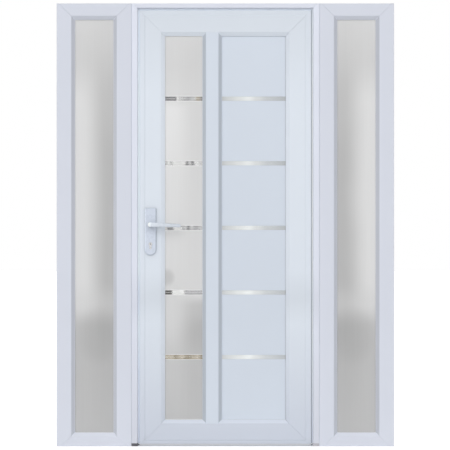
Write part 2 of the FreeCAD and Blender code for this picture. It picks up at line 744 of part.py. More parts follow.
def lever(name):
    """Lever: a tapered grip with rounded edges on a turned neck with a collar at the plate."""
    body = add("PartDesign::Body", name)
    grip_sketch = tapered_slot(body, f"{name}_grip")
    grip_sketch.AttachmentOffset = FreeCAD.Placement(
        grip_sketch.AttachmentOffset.Base, Rotation(Vector(0, 1, 0), SIZES["lever_lean"]))
    grip_sketch.setExpression(".AttachmentOffset.Rotation.Angle", tied("lever_lean"))
    grip = pad(body, grip_sketch, "grip_thickness")
    document.recompute()
    faces = sorted(grip.Shape.Faces, key=lambda face: face.Area)[-2:]
    rims = [edge.hashCode() for face in faces for edge in face.Edges]
    rounded = body.newObject("PartDesign::Fillet", f"{name}_rounding")
    rounded.Base = (grip, edge_names(grip.Shape, lambda edge: edge.hashCode() in rims))
    tie(rounded, Radius="grip_round")
    profile = [("0", "-lever_gap"), ("collar_radius", "-lever_gap"), ("collar_radius", "-collar_length"),
               ("neck_radius", "-(collar_length + neck_taper)"), ("neck_radius", "-lever_stand"),
               ("0", "-lever_stand")]
    neck = body.newObject("PartDesign::Revolution", f"{name}_neck")
    neck.Profile = outline(body, f"{name}_profile", "XY_Plane", profile)
    neck.ReferenceAxis = (neck.Profile[0], ["V_Axis"])
    neck.Angle = 360
    tie(body, place_x="spindle_place", place_y="plate_face", place_z="spindle_height")
    return body


outer_plate = backplate("handle_plate_outside")
keep(outer_plate, mirrored("handle_plate_inside", outer_plate))
outer_lever = lever("lever_outside")
keep(outer_lever, mirrored("lever_inside", outer_lever))
half_square = "spindle_square / 2"
spindle_end = "plate_face - lever_gap"
spindle_low = (f"spindle_place - {half_square}", spindle_end, f"spindle_height - {half_square}")
spindle_high = (f"spindle_place + {half_square}", f"2 * leaf_middle - ({spindle_end})",
                f"spindle_height + {half_square}")
keep(block("spindle", spindle_low, spindle_high))

cylinder = add("PartDesign::Body", "lock_cylinder")
pad(cylinder, cylinder_outline(cylinder, "cylinder_section", "0"), "leaf_depth + 2 * plate_thickness", True)
keyway = box_corners("-keyway_width / 2", "keyway_width / 2", "-keyway_height / 2", "keyway_height / 2")
pocket(cylinder, outline(cylinder, "keyway", "XZ_Plane", keyway), "keyway_depth")
tie(cylinder, place_x="spindle_place", place_y="plate_face", place_z="lock_height")
keep(cylinder)

# The lock's faceplate lies flush in the leaf's edge and the keep flush in the jamb
plate_low = "leaf_bottom + faceplate_end_gap"
plate_high = "leaf_top - faceplate_end_gap"
plate_near = "lock_plane - faceplate_width / 2"
plate_far = "lock_plane + faceplate_width / 2"
faceplate_recess = box_corners(plate_near, plate_far, "faceplate_end_gap", f"{plate_high} - leaf_bottom")
pocket(lock_stile, outline(lock_stile, "faceplate_recess", "YZ_Plane", faceplate_recess),
       "faceplate_thickness", True)
bolt_low = {"latch": "spindle_height - latch_height / 2",
            "dead": "lock_height - latch_height / 2 - bolt_drop / 2"}
bolts = [block(f"{kind}_bolt", ("-leaf_edge", "lock_plane - latch_width / 2", low),
               ("faceplate_thickness - leaf_edge", "lock_plane + latch_width / 2", f"{low} + latch_height"))
         for kind, low in bolt_low.items()]
faceplate_blank = block("faceplate_blank", ("-leaf_edge", plate_near, plate_low),
                        ("faceplate_thickness - leaf_edge", plate_far, plate_high))
keep(cut("lock_faceplate", faceplate_blank, together("faceplate_slots", bolts)))
keep(together("lock_bolts", bolts))

keep_low = "(spindle_height + lock_height) / 2 - keep_height / 2"
keep_recess = box_corners(plate_near, plate_far, f"{keep_low} - foot_height",
                          f"{keep_low} + keep_height - foot_height")
pocket(left_jamb, outline(left_jamb, "keep_recess", "YZ_Plane", keep_recess, "jamb_face - lip_overhang"),
       "faceplate_thickness")
keep_back = "-rebate_side - faceplate_thickness"
keep_slots = [block(f"{kind}_slot", (keep_back, "lock_plane - latch_width / 2", low),
                    ("-rebate_side", "lock_plane + latch_width / 2", f"{low} + latch_height"))
              for kind, low in bolt_low.items()]
keep_blank = block("keep_blank", (keep_back, plate_near, keep_low),
                   ("-rebate_side", plate_far, f"{keep_low} + keep_height"))
keep(cut("lock_keep", keep_blank, together("keep_slots", keep_slots)))


# Hinges. Each hinge's own origin is on its axis at its lower end.

def hinge_bar(body, name, corners, length, height="0"):
    pad(body, outline(body, name, "XY_Plane", corners, height), length)


def knuckle(body, name, web, start, length):
    """One barrel of the hinge with the web that carries it."""
    hinge_bar(body, f"{name}_web", web, length, start)
    pad(body, disc(body, f"{name}_barrel", "XY_Plane", "hinge_barrel", ("0", "0", start)), length)


def place_hinge(body, height):
    tie(body, place_x="hinge_side", place_y="leaf_rear", place_z=height)


def frame_wing(name, height):
    """The half on the frame: a flat wing with the upper and lower knuckles."""
    body = add("PartDesign::Body", name)
    seat = "frame_rear - leaf_rear"
    wing = box_corners("0", "hinge_wing", seat, f"{seat} + hinge_plate")
    hinge_bar(body, f"{name}_wing", wing, "hinge_height")
    web = box_corners("0", "hinge_barrel", f"{seat} + hinge_plate", "0")
    knuckle(body, f"{name}_lower", web, "0", "hinge_third")
    knuckle(body, f"{name}_upper", web, "2 * hinge_third", "hinge_third")
    pocket_through(body, disc(body, f"{name}_bore", "XY_Plane", "hinge_pin + hinge_fit"))
    place_hinge(body, height)
    return body


def leaf_wing(name, height):
    """The half on the leaf: a flat wing with the middle knuckle."""
    body = add("PartDesign::Body", name)
    reach = "-(hinge_barrel + hinge_edge_gap)"
    hinge_bar(body, f"{name}_wing", box_corners("-hinge_wing", reach, "0", "hinge_plate"), "hinge_height")
    web = box_corners(f"{reach} - hinge_plate", "0", "0", "hinge_plate")
    knuckle(body, f"{name}_middle", web, "hinge_third + knuckle_gap", "hinge_third - 2 * knuckle_gap")
    pocket_through(body, disc(body, f"{name}_bore", "XY_Plane", "hinge_pin + hinge_fit"))
    place_hinge(body, height)
    return body


def hinge_pin(name, height):
    """The pin, with a head under the lowest knuckle and one over the highest."""
    body = add("PartDesign::Body", name)
    top = "hinge_height + pin_head"
    crown = "hinge_barrel - pin_chamfer"
    profile = [("0", "-pin_head"), (crown, "-pin_head"), ("hinge_barrel", "0"), ("hinge_pin", "0"),
               ("hinge_pin", "hinge_height"), ("hinge_barrel", "hinge_height"), (crown, top), ("0", top)]
    turned = body.newObject("PartDesign::Revolution", f"{name}_turned")
    turned.Profile = outline(body, f"{name}_profile", "XZ_Plane", profile)
    turned.ReferenceAxis = (turned.Profile[0], ["V_Axis"])
    turned.Angle = 360
    place_hinge(body, height)
    return body


hinge_heights = {"lower": "leaf_bottom + hinge_inset",
                 "middle": "(leaf_bottom + leaf_top - hinge_height) / 2",
                 "upper": "leaf_top - hinge_inset - hinge_height"}
hinge_makers = {"hinge_frame_wings": frame_wing, "hinge_leaf_wings": leaf_wing, "hinge_pins": hinge_pin}
for label, make in hinge_makers.items():
    keep(together(label, [make(f"{label}_{place}", height) for place, height in hinge_heights.items()]))


# Finish: every object must be sound before anything is written

document.recompute()
faults = [item.Name for item in document.Objects if {"Invalid", "Error"} & set(item.State)]
faults += [node.Label for node in nodes if node.Shape.isNull() or not node.Shape.isValid()]
if faults:
    raise SystemExit(f"unsound: {faults}")
os.makedirs("parts", exist_ok=True)
for node in nodes:
    node.Shape.exportStep(f"parts/{node.Label}.step")
print(f"{len(nodes)} sub-parts written")
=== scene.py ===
# A white plastic entrance door between two frosted sidelights, in metres: X to the right seen
# from outside, Y into the house and Z up.
import json
import math

import bmesh
import bpy
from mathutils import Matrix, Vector


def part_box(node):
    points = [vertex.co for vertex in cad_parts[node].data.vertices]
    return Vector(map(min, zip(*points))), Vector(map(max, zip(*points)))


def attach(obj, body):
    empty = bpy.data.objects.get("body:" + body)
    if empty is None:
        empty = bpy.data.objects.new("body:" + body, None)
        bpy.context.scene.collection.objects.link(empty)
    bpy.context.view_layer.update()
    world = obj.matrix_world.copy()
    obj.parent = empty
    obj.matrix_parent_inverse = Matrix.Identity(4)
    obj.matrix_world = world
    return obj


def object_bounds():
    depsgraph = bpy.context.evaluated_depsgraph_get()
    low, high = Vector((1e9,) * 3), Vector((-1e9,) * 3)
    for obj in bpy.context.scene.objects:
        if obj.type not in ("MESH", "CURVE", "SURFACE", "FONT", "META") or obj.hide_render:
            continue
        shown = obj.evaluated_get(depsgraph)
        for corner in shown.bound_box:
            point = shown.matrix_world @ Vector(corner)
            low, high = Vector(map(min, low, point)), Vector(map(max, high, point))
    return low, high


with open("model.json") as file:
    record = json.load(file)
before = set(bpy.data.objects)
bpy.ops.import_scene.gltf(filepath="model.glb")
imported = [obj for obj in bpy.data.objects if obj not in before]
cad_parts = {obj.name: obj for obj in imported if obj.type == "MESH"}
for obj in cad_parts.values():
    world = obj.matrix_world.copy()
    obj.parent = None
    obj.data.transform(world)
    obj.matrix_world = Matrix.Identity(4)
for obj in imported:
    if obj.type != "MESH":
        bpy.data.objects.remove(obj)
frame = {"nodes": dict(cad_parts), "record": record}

cad_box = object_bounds()
nodes = frame["nodes"]


# Colours, as they are seen on a screen

def srgb(red, green, blue):
    """A screen colour, each part from 0 to 255, as the linear one that a shader takes."""
    parts = [value / 255 for value in (red, green, blue)]
    linear = [part / 12.92 if part <= 0.04045 else ((part + 0.055) / 1.055) ** 2.4 for part in parts]
    return (*linear, 1.0)


def grey(tone):
    return srgb(tone, tone, tone)


def darker(colour, share):
    return tuple(part * share for part in colour[:3]) + (1.0,)


WHITE = srgb(255, 255, 255)
LEAF_WHITE = srgb(221, 228, 237)
LEAF_FOOT = srgb(203, 209, 221)
FRAME_WHITE = srgb(223, 227, 239)
FRAME_FOOT = srgb(213, 216, 226)
LIGHT_WHITE = srgb(214, 218, 229)
LIGHT_FOOT = srgb(219, 223, 234)
MULLION_WHITE = srgb(211, 219, 230)
PANEL_WHITE = srgb(209, 217, 228)
# One white enamel: painted light makes the lever paler and painted shade the plate darker
LEVER_LIT_WHITE = srgb(219, 226, 236)
PLATE_SHADED_WHITE = srgb(206, 214, 228)
HINGE_WHITE = srgb(214, 222, 235)
# Painted shade in the keyway
KEYWAY_SHADE = srgb(24, 24, 26)
# Painted light: the seal and the gaskets are paler than their rubber, against the shade they lie in
SEAL_GREY = srgb(240, 243, 249)
GASKET_GREY = srgb(213, 215, 219)
SPACER_GREY = srgb(168, 170, 173)
THRESHOLD_GREY = srgb(214, 217, 222)
# Painted shade: the block under the left jamb is dark, where the like one on the right is grey
BLOCK_DARK = srgb(92, 92, 98)
BLOCK_GREY = srgb(196, 195, 201)
NICKEL = srgb(216, 216, 218)
ZINC = srgb(192, 194, 196)


# Shader building blocks

# The most light that a surface gives back
WHITEST = 0.97
# Where most values of a noise pattern lie
NOISE_SPAN = (0.3, 0.7)
# A mix node's colour sockets share their names with its other sockets, so they go by number
MIX_SHARE, MIX_FIRST, MIX_SECOND, MIX_RESULT = 0, 6, 7, 2


def new_material(name):
    made = bpy.data.materials.new(name)
    made.use_nodes = True
    return made, made.node_tree, made.node_tree.nodes["Principled BSDF"]


def node(tree, kind, inputs=None, **settings):
    """A new shader node; an input takes a value or another node's output."""
    made = tree.nodes.new(f"ShaderNode{kind}")
    for name, value in settings.items():
        setattr(made, name, value)
    for name, value in (inputs or {}).items():
        if isinstance(value, bpy.types.NodeSocket):
            tree.links.new(value, made.inputs[name])
        else:
            made.inputs[name].default_value = value
    return made


def place(tree):
    """Where a point of the surface lies, in metres."""
    return node(tree, "TexCoord").outputs["Object"]


def axis(tree, name):
    return node(tree, "SeparateXYZ", {"Vector": place(tree)}).outputs[name]


def facing(tree, name):
    """How far the surface faces along an axis, from -1 to 1."""
    normal = node(tree, "TexCoord").outputs["Normal"]
    return node(tree, "SeparateXYZ", {"Vector": normal}).outputs[name]


def stretched(tree, scale):
    return node(tree, "Mapping", {"Vector": place(tree), "Scale": scale}).outputs["Vector"]


def noise(tree, scale=1.0, detail=2.0, vector=None):
    source = vector or place(tree)
    return node(tree, "TexNoise", {"Vector": source, "Scale": scale, "Detail": detail}).outputs["Fac"]


def calc(tree, operation, first, second=0.0):
    return node(tree, "Math", {0: first, 1: second}, operation=operation).outputs[0]


def spread(tree, value, low, high, start=0.0, end=1.0, kind="LINEAR"):
    """A value from the range low to high, brought to the range start to end."""
    inputs = {"Value": value, "From Min": low, "From Max": high, "To Min": start, "To Max": end}
    return node(tree, "MapRange", inputs, interpolation_type=kind).outputs["Result"]


def uneven(tree, pattern, start=0.0, end=1.0, span=NOISE_SPAN):
    """A noise pattern brought to the range start to end."""
    return spread(tree, pattern, *span, start, end)


def between(tree, value, start, full, last, end):
    """0 up to start, 1 from full to last, and 0 again from end on."""
    rising = spread(tree, value, start, full)
    falling = spread(tree, value, end, last)
    return calc(tree, "MULTIPLY", rising, falling)


def by_place(tree, where, steps):
    """A value that runs straight from step to step; a step is a place and the value there."""
    total = steps[0][1]
    for (start, low), (end, high) in zip(steps, steps[1:]):
        total = calc(tree, "ADD", total, spread(tree, where, start, end, 0.0, high - low))
    return total


def mix(tree, share, first, second, kind="MIX"):
    inputs = {MIX_SHARE: share, MIX_FIRST: first, MIX_SECOND: second}
    return node(tree, "Mix", inputs, data_type="RGBA", blend_type=kind).outputs[MIX_RESULT]


def scaled(tree, colour, share):
    """A colour made darker or lighter by a share that may be over 1."""
    return node(tree, "VectorMath", {0: colour, "Scale": share}, operation="SCALE").outputs["Vector"]


def ramp(tree, value, stops, kind="EASE"):
    """A colour ramp; a stop is a place from 0 to 1 and a colour."""
    made = node(tree, "ValToRGB", {"Fac": value})
    made.color_ramp.interpolation = kind
    elements = made.color_ramp.elements
    elements.remove(elements[-1])
    elements[0].position, elements[0].color = stops[0]
    for position, colour in stops[1:]:
        elements.new(position).color = colour
    return made.outputs["Color"]


def relief(tree, shader, height, depth):
    """Bumps of a real depth in metres."""
    made = node(tree, "Bump", {"Height": height, "Distance": depth})
    tree.links.new(made.outputs["Normal"], shader.inputs["Normal"])


def paint(tree, shader, colour):
    """The surface's colour, which never gives back all the light."""
    whitest = (WHITEST, WHITEST, WHITEST)
    limited = node(tree, "VectorMath", {0: colour, 1: whitest}, operation="MINIMUM").outputs["Vector"]
    tree.links.new(limited, shader.inputs["Base Color"])


def uneven_roughness(tree, shader, pattern, low, high):
    tree.links.new(uneven(tree, pattern, low, high), shader.inputs["Roughness"])


# Light and shade painted into the finishes

# A cheek is the slope between a profile's face and its glass, and it carries painted shade or
# painted light. It is told by how squarely it faces the street, and it starts a little behind
# the profile's face.
CHEEK_SQUARENESS = (0.72, 0.80, 0.87, 0.95)
CHEEK_START = (0.0006, 0.0022)
CHEEK_LEAN = 0.4
# A recess is a land in the gap round the leaf, told by how far it lies behind the face, and
# painted light makes it whiter than the faces against the shade it lies in
RECESS = (0.003, 0.008, 0.024, 0.030)
RECESS_SHARE = 1.22
# Painted shade: close to another piece a surface is painted darker, up to a reach in metres.
# Where only one side of a surface gets this painted shade, it sets in over the blur.
CONTACT_REACH = 0.05
CONTACT_DEPTH = 0.45
CONTACT_BLUR = CONTACT_REACH / 3


def light_share(tree, face, recess, side, head, sill):
    """Painted light and shade on a recess and a cheek: the share of light kept, and 1 on a face.

    side, head and sill are for a cheek that faces sideways, down and up.
    """
    behind = calc(tree, "SUBTRACT", axis(tree, "Y"), face)
    square = calc(tree, "ABSOLUTE", facing(tree, "Y"))
    on_cheek = calc(tree, "MULTIPLY", between(tree, square, *CHEEK_SQUARENESS),
                    spread(tree, behind, *CHEEK_START))
    lean = facing(tree, "Z")
    upward = spread(tree, lean, 0.0, CHEEK_LEAN, side - 1, sill - 1)
    downward = spread(tree, lean, -CHEEK_LEAN, 0.0, head - side, 0.0)
    cheek_change = calc(tree, "MULTIPLY", on_cheek, calc(tree, "ADD", upward, downward))
    off_cheek = calc(tree, "SUBTRACT", 1.0, on_cheek)
    sunken = calc(tree, "MULTIPLY", between(tree, behind, *RECESS), off_cheek)
    recess_change = calc(tree, "MULTIPLY", sunken, calc(tree, "SUBTRACT", recess, 1.0))
    return calc(tree, "ADD", calc(tree, "ADD", cheek_change, recess_change), 1.0)


def contact_shade(tree):
    """Painted shade beside other pieces: the share of light kept, and 1 in the open."""
    free = node(tree, "AmbientOcclusion", {"Distance": CONTACT_REACH}).outputs["AO"]
    return spread(tree, free, 0.0, 1.0, 1.0 - CONTACT_DEPTH, 1.0)


# Finishes

# How deep the fine bumps of a surface are
GRAIN_DEPTH = 0.00003
POLISH_DEPTH = 0.00002
RUBBER_DEPTH = 0.0001
# Up to this height the foot's colour fades into the plain one
FOOT_TOP = 0.62
# Painted light and shade on glossy enamel: how much light it keeps where it faces left and where
# it faces right
SIDE_LIGHT = (1.28, 0.84)
# How strongly glass bends light
GLASS_BEND = 1.5


def plastic(name, colour, face, foot=None, cheeks=(1.0, 1.0, 1.0), heights=None,
            recess=RECESS_SHARE, shade_from=None):
    """Smooth window plastic with faint clouds and a fine grain.

    face is where the profile's front lies along Y, foot is the colour at the floor, cheeks is
    the painted light and shade on a cheek where it faces sideways, down and up, heights is the
    painted light and shade by steps along Z, and recess the painted light on a recess, or painted
    shade and light by steps along X where it is a tuple. shade_from is the place along X past
    which painted shade lies beside what is screwed on.
    """
    made, tree, shader = new_material(name)
    above_foot = spread(tree, axis(tree, "Z"), 0.0, FOOT_TOP)
    base = mix(tree, above_foot, foot or colour, colour)
    clouds = uneven(tree, noise(tree, scale=3.0, detail=3.0), 0.0, 0.25, span=(0.35, 0.65))
    clouded = mix(tree, clouds, base, darker(colour, 0.95), "DARKEN")
    if isinstance(recess, tuple):
        recess = by_place(tree, axis(tree, "X"), recess)
    # Painted light and shade on the cheeks, on the recesses and by height
    lit = scaled(tree, clouded, light_share(tree, face, recess, *cheeks))
    if heights:
        lit = scaled(tree, lit, by_place(tree, axis(tree, "Z"), heights))
    # Painted shade beside what is screwed on, past shade_from
    if shade_from is not None:
        past = spread(tree, axis(tree, "X"), shade_from - CONTACT_BLUR, shade_from)
        lit = mix(tree, past, lit, scaled(tree, lit, contact_shade(tree)))
    paint(tree, shader, lit)
    uneven_roughness(tree, shader, noise(tree, scale=14.0, detail=4.0), 0.40, 0.50)
    relief(tree, shader, noise(tree, scale=800.0, detail=3.0), GRAIN_DEPTH)
    return made


def enamel(name, colour, along=None):
    """Powder coat: a glossy skin with a slight orange peel, with painted light and shade by the way
    it faces and painted shade beside other pieces.

    along is the painted light and shade by steps along X.
    """
    made, tree, shader = new_material(name)
    clouded = mix(tree, uneven(tree, noise(tree, scale=25.0)), colour, darker(colour, 0.985))
    # Painted light on faces that look left and painted shade on those that look right
    side = facing(tree, "X")
    left, right = SIDE_LIGHT
    from_left = spread(tree, side, -1.0, 0.0, left - 1, 0.0)
    from_right = spread(tree, side, 0.0, 1.0, 1.0, right)
    sided = scaled(tree, clouded, calc(tree, "ADD", from_left, from_right))
    # Painted shade beside other pieces
    lit = scaled(tree, sided, contact_shade(tree))
    if along:
        lit = scaled(tree, lit, by_place(tree, axis(tree, "X"), along))
    paint(tree, shader, lit)
    uneven_roughness(tree, shader, noise(tree, scale=60.0), 0.26, 0.30)
    shader.inputs["Coat Weight"].default_value = 0.3
    shader.inputs["Coat Roughness"].default_value = 0.12
    relief(tree, shader, noise(tree, scale=420.0, detail=1.0), POLISH_DEPTH)
    return made


def rubber(name, colour, roughness=0.62, swing=0.08):
    """Rubber or moulded plastic with an even fine grain; swing is how far the roughness varies."""
    made, tree, shader = new_material(name)
    grain = noise(tree, scale=300.0, detail=5.0)
    paint(tree, shader, mix(tree, uneven(tree, grain), colour, darker(colour, 0.85)))
    uneven_roughness(tree, shader, grain, roughness - swing, roughness + swing)
    relief(tree, shader, grain, RUBBER_DEPTH)
    return made


def metal(name, colour, lines=(60.0, 60.0, 60.0), roughness=(0.22, 0.34)):
    """Bare metal; lines is how fine its marks are along X, Y and Z."""
    made, tree, shader = new_material(name)
    marks = noise(tree, detail=5.0, vector=stretched(tree, lines))
    marked = uneven(tree, marks, span=(0.25, 0.75))
    paint(tree, shader, mix(tree, marked, darker(colour, 0.86), colour))
    uneven_roughness(tree, shader, marks, *roughness)
    shader.inputs["Metallic"].default_value = 1.0
    relief(tree, shader, marks, POLISH_DEPTH)
    return made


def keyed_metal(name, colour, hole, outside, inside):
    """Bare metal that is black between two depths along Y, as painted shade where a keyway lies."""
    made, tree, shader = new_material(name)
    marks = noise(tree, scale=200.0, detail=4.0)
    polished = mix(tree, uneven(tree, marks, span=(0.25, 0.75)), darker(colour, 0.90), colour)
    depth = axis(tree, "Y")
    sunken = calc(tree, "MULTIPLY", calc(tree, "GREATER_THAN", depth, outside),
                  calc(tree, "LESS_THAN", depth, inside))
    paint(tree, shader, mix(tree, sunken, polished, hole))
    uneven_roughness(tree, shader, marks, 0.22, 0.34)
    tree.links.new(calc(tree, "SUBTRACT", 1.0, sunken), shader.inputs["Metallic"])
    relief(tree, shader, marks, POLISH_DEPTH)
    return made


# A painted sheen: the broad soft reflection that a long steel strip shows, by its share of the
# length
STEEL_SHEEN = ((0.0, srgb(201, 204, 206)), (0.12, srgb(213, 216, 217)), (0.27, srgb(226, 229, 229)),
               (0.42, srgb(236, 239, 239)), (0.55, srgb(220, 223, 224)), (0.72, srgb(201, 205, 208)),
               (1.0, srgb(186, 190, 194)))


def brushed_strip(name, left, right):
    """Steel brushed along X, with a painted sheen from left to right."""
    made, tree, shader = new_material(name)
    sheen = ramp(tree, spread(tree, axis(tree, "X"), left, right), STEEL_SHEEN)
    marks = noise(tree, detail=6.0, vector=stretched(tree, (3.0, 900.0, 900.0)))
    brushed = uneven(tree, marks, 0.0, 0.25, span=(0.35, 0.75))
    paint(tree, shader, mix(tree, brushed, sheen, grey(150)))
    uneven_roughness(tree, shader, marks, 0.24, 0.38)
    shader.inputs["Metallic"].default_value = 1.0
    shader.inputs["Anisotropic"].default_value = 0.5
    relief(tree, shader, marks, GRAIN_DEPTH)
    return made


# Blasted and clear glass

# The grey of the blasted glass with painted light and shade by height in metres, at the side
# towards the light and at the side that lies in shade, standing for what shows through it
LIGHT_LIT = ((0.0, 191), (0.45, 188), (0.56, 190), (0.68, 214), (0.80, 220), (1.62, 220),
             (1.84, 207), (2.05, 212))
LIGHT_SHADED = ((0.0, 188), (0.45, 181), (0.56, 178), (0.68, 193), (0.79, 182), (1.36, 182),
                (1.62, 189), (2.05, 208))
DOOR_LIT = ((0.0, 190), (0.36, 197), (0.64, 211), (0.95, 217), (1.20, 220), (1.60, 227),
            (1.66, 214), (1.83, 210), (2.05, 212))
DOOR_SHADED = ((0.0, 189), (0.36, 188), (0.55, 179), (0.66, 190), (0.72, 213), (1.59, 211),
               (1.83, 206), (2.05, 212))
# Where the painted light turns to painted shade, by its share of the width, and how far that
# line wavers
FROST_SHIFT = (0.18, 0.85)
FROST_WAVER = 0.012
# How fine the upright streaks are along X, Y and Z, and how strong they are
FROST_FOLDS = (120.0, 1.0, 2.5)
FROST_STREAK = 0.010
FROST_ROUGHNESS = (0.40, 0.55)


def height_tones(tree, tones):
    top = tones[-1][0]
    stops = [(height / top, grey(tone)) for height, tone in tones]
    return ramp(tree, spread(tree, axis(tree, "Z"), 0.0, top), stops)


def soft_shadow(tree, across, x, z, half_width, half_height, depth):
    """1 outside a soft round painted shadow on the glass, as if cast from behind, and less in it."""
    side = calc(tree, "DIVIDE", calc(tree, "SUBTRACT", across, x), half_width)
    rise = calc(tree, "DIVIDE", calc(tree, "SUBTRACT", axis(tree, "Z"), z), half_height)
    far = calc(tree, "ADD", calc(tree, "POWER", side, 2.0), calc(tree, "POWER", rise, 2.0))
    return spread(tree, far, 0.0, 1.0, 1.0 - depth, 1.0, "SMOOTHSTEP")


def frosted_tone(tree, lit_edge, shaded_edge, lit, shaded, shadow):
    """The grey of blasted glass between the two edges of a light, with painted light and shade
    standing for what shows through it.

    shadow is the place along X and Z, the half sizes and the depth of the one painted round shadow
    on it.
    """
    waver = uneven(tree, noise(tree, scale=2.2, detail=1.0), -FROST_WAVER, FROST_WAVER, span=(0.2, 0.8))
    across = calc(tree, "ADD", axis(tree, "X"), waver)
    width = shaded_edge - lit_edge
    first, last = [lit_edge + share * width for share in FROST_SHIFT]
    in_shade = spread(tree, across, first, last, kind="SMOOTHSTEP")
    tone = mix(tree, in_shade, height_tones(tree, lit), height_tones(tree, shaded))
    folds = noise(tree, detail=3.0, vector=stretched(tree, FROST_FOLDS))
    streaks = uneven(tree, folds, 1.0 - FROST_STREAK, 1.0 + FROST_STREAK)
    return scaled(tree, scaled(tree, tone, streaks), soft_shadow(tree, across, *shadow))


def frosted_glass(name, lit_edge, shaded_edge, lit, shaded, shadow):
    made, tree, shader = new_material(name)
    tone = frosted_tone(tree, lit_edge, shaded_edge, lit, shaded, shadow)
    grain = noise(tree, scale=700.0, detail=4.0)
    paint(tree, shader, mix(tree, uneven(tree, grain, 0.0, 0.05), tone, grey(120)))
    uneven_roughness(tree, shader, grain, *FROST_ROUGHNESS)
    shader.inputs["IOR"].default_value = GLASS_BEND
    relief(tree, shader, grain, GRAIN_DEPTH)
    return made


# Painted in: the blurred things that would show through each clear stripe, from the lowest up,
# by its share of the width
PALE = srgb(240, 240, 239)
MIST = srgb(212, 212, 212)
HAZE = srgb(184, 184, 186)
DIM = srgb(146, 146, 148)
DARK = srgb(92, 90, 88)
SAND = srgb(194, 185, 168)
OLIVE = srgb(158, 147, 124)
STRIPE_VIEWS = (
    ((0.0, SAND), (0.20, SAND), (0.27, OLIVE), (0.45, SAND), (0.58, OLIVE), (0.88, SAND), (0.97, OLIVE)),
    ((0.0, DARK), (0.15, DARK), (0.22, PALE), (0.48, PALE), (0.56, HAZE), (1.0, HAZE)),
    ((0.0, PALE), (0.10, DIM), (0.18, DIM), (0.26, PALE), (0.42, PALE), (0.48, HAZE), (0.54, MIST),
     (0.62, DIM), (0.70, MIST), (0.80, HAZE), (1.0, MIST)),
    ((0.0, MIST), (0.10, PALE), (0.16, MIST), (0.24, PALE), (0.50, PALE), (0.59, DIM), (0.66, MIST),
     (0.74, DIM), (0.82, PALE), (1.0, MIST)),
    ((0.0, DIM), (0.27, DIM), (0.33, PALE), (0.42, MIST), (0.60, HAZE), (0.76, MIST), (0.88, SAND),
     (1.0, DIM)),
)
# How far what shows wavers, and how fine its waves are along X, Y and Z
STRIPE_WAVER = 0.01
STRIPE_WAVES = (40.0, 1.0, 160.0)
# How much of the light goes straight through a stripe
STRIPE_CLEARNESS = 0.7
# The pale rim of a stripe, and the painted highlight, a bright streak along its middle
STRIPE_RIM = 0.0030
RIM_STRENGTH = 0.55
STREAK_SHARE = 0.2
STREAK_STRENGTH = 0.40


def stripe_view(tree, index, across):
    """The painted colours of what lies beyond all the clear stripes, where index counts the stripes
    from the lowest.
    """
    seen = ramp(tree, across, STRIPE_VIEWS[0])
    for number, stops in enumerate(STRIPE_VIEWS[1:], 1):
        here = calc(tree, "GREATER_THAN", index, number - 0.5)
        seen = mix(tree, here, seen, ramp(tree, across, stops))
    return seen


def striped_glass(name, left, right, first_stripe, pitch, stripe_height, shadow):
    """Blasted glass with clear stripes left in it, in which blurred things beyond are painted."""
    made, tree, shader = new_material(name)
    half = stripe_height / 2
    tone = frosted_tone(tree, left, right, DOOR_LIT, DOOR_SHADED, shadow)
    above = calc(tree, "SUBTRACT", axis(tree, "Z"), first_stripe - STRIPE_RIM)
    index = calc(tree, "FLOOR", calc(tree, "DIVIDE", above, pitch))
    rise = calc(tree, "SUBTRACT", above, calc(tree, "MULTIPLY", index, pitch))
    from_middle = calc(tree, "ABSOLUTE", calc(tree, "SUBTRACT", rise, STRIPE_RIM + half))
    clear = calc(tree, "LESS_THAN", from_middle, half)
    rim = calc(tree, "LESS_THAN", from_middle, half + STRIPE_RIM)
    waves = noise(tree, detail=2.0, vector=stretched(tree, STRIPE_WAVES))
    waver = uneven(tree, waves, -STRIPE_WAVER, STRIPE_WAVER)
    across = calc(tree, "ADD", spread(tree, axis(tree, "X"), left, right), waver)
    streak_reach = STREAK_SHARE * stripe_height
    streak = spread(tree, from_middle, 0.0, streak_reach, STREAK_STRENGTH, 0.0, "SMOOTHSTEP")
    seen = mix(tree, streak, stripe_view(tree, index, across), PALE)
    frosted = mix(tree, calc(tree, "MULTIPLY", rim, RIM_STRENGTH), tone, PALE)
    paint(tree, shader, mix(tree, clear, frosted, seen))
    frost = calc(tree, "SUBTRACT", 1.0, clear)
    grain = noise(tree, scale=700.0, detail=4.0)
    rough = calc(tree, "MULTIPLY", uneven(tree, grain, *FROST_ROUGHNESS), frost)
    tree.links.new(rough, shader.inputs["Roughness"])
    clearness = calc(tree, "MULTIPLY", clear, STRIPE_CLEARNESS)
    tree.links.new(clearness, shader.inputs["Transmission Weight"])
    shader.inputs["IOR"].default_value = GLASS_BEND
    relief(tree, shader, calc(tree, "MULTIPLY", grain, frost), GRAIN_DEPTH)
    return made


def clear_glass(name):
    """Float glass with faint waves and a trace of dust."""
    made, tree, shader = new_material(name)
    dust = uneven(tree, noise(tree, scale=18.0, detail=6.0), span=(0.45, 0.8))
    paint(tree, shader, mix(tree, dust, srgb(251, 253, 252), srgb(244, 247, 246)))
    tree.links.new(calc(tree, "MULTIPLY", dust, 0.04), shader.inputs["Roughness"])
    shader.inputs["IOR"].default_value = GLASS_BEND
    shader.inputs["Transmission Weight"].default_value = 1.0
    relief(tree, shader, noise(tree, scale=1.5, detail=1.0), GRAIN_DEPTH)
    return made


# The plastics of the door

